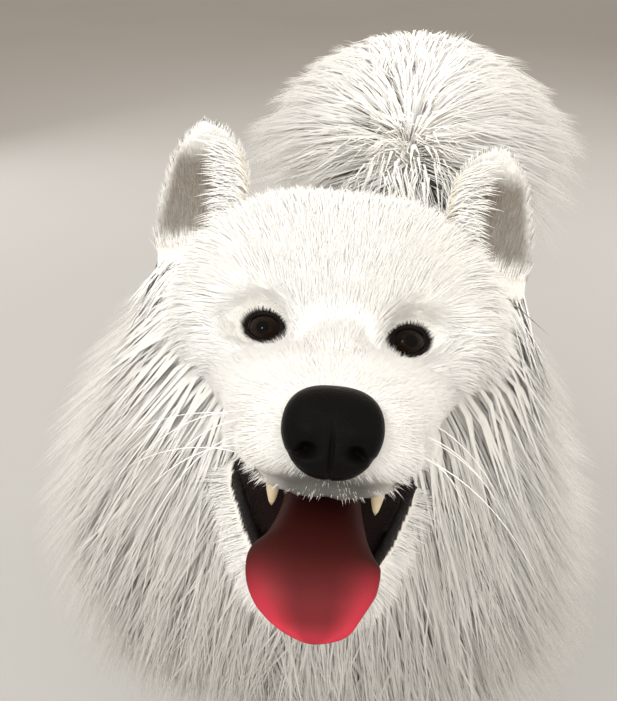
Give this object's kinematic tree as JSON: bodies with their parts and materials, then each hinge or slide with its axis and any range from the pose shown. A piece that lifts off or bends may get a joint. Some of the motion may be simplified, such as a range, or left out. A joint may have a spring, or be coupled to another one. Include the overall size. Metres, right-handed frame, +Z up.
{
  "type": "dog model",
  "caption": "Life-size samoyed standing on four feet, head raised, mouth open with the tongue out, thick white coat and a plumed tail curled over the back.",
  "frame": {"origin": "on the floor, under the middle of the dog's bounding box", "axes": "+Z up, the dog faces -Y, its left side is +X, the body's length runs along Y"},
  "size_m": [0.4072, 0.9112, 0.7405],
  "materials": {
    "coat": "soft white fur, matte",
    "leather": "black, satin, finely pebbled",
    "tongue": "moist, satin",
    "eye": "glossy, dark brown",
    "tooth": "ivory, smooth"
  },
  "bodies": {
    "root": {"head": "coat", "lower_jaw": "coat", "tongue": "tongue", "nose": "leather", "eye_left": "eye", "eye_right": "eye", "ear_left": "coat", "ear_right": "coat", "neck": "coat", "chest": "coat", "loin": "coat", "foreleg_upper_left": "coat", "foreleg_lower_left": "coat", "fore_paw_left": "coat", "thigh_left": "coat", "shank_left": "coat", "hind_paw_left": "coat", "foreleg_upper_right": "coat", "foreleg_lower_right": "coat", "fore_paw_right": "coat", "thigh_right": "coat", "shank_right": "coat", "hind_paw_right": "coat", "tail_base": "coat", "tail_middle": "coat", "tail_tip": "coat", "tooth_left": "tooth", "tooth_right": "tooth"}
  },
  "joints": []
}
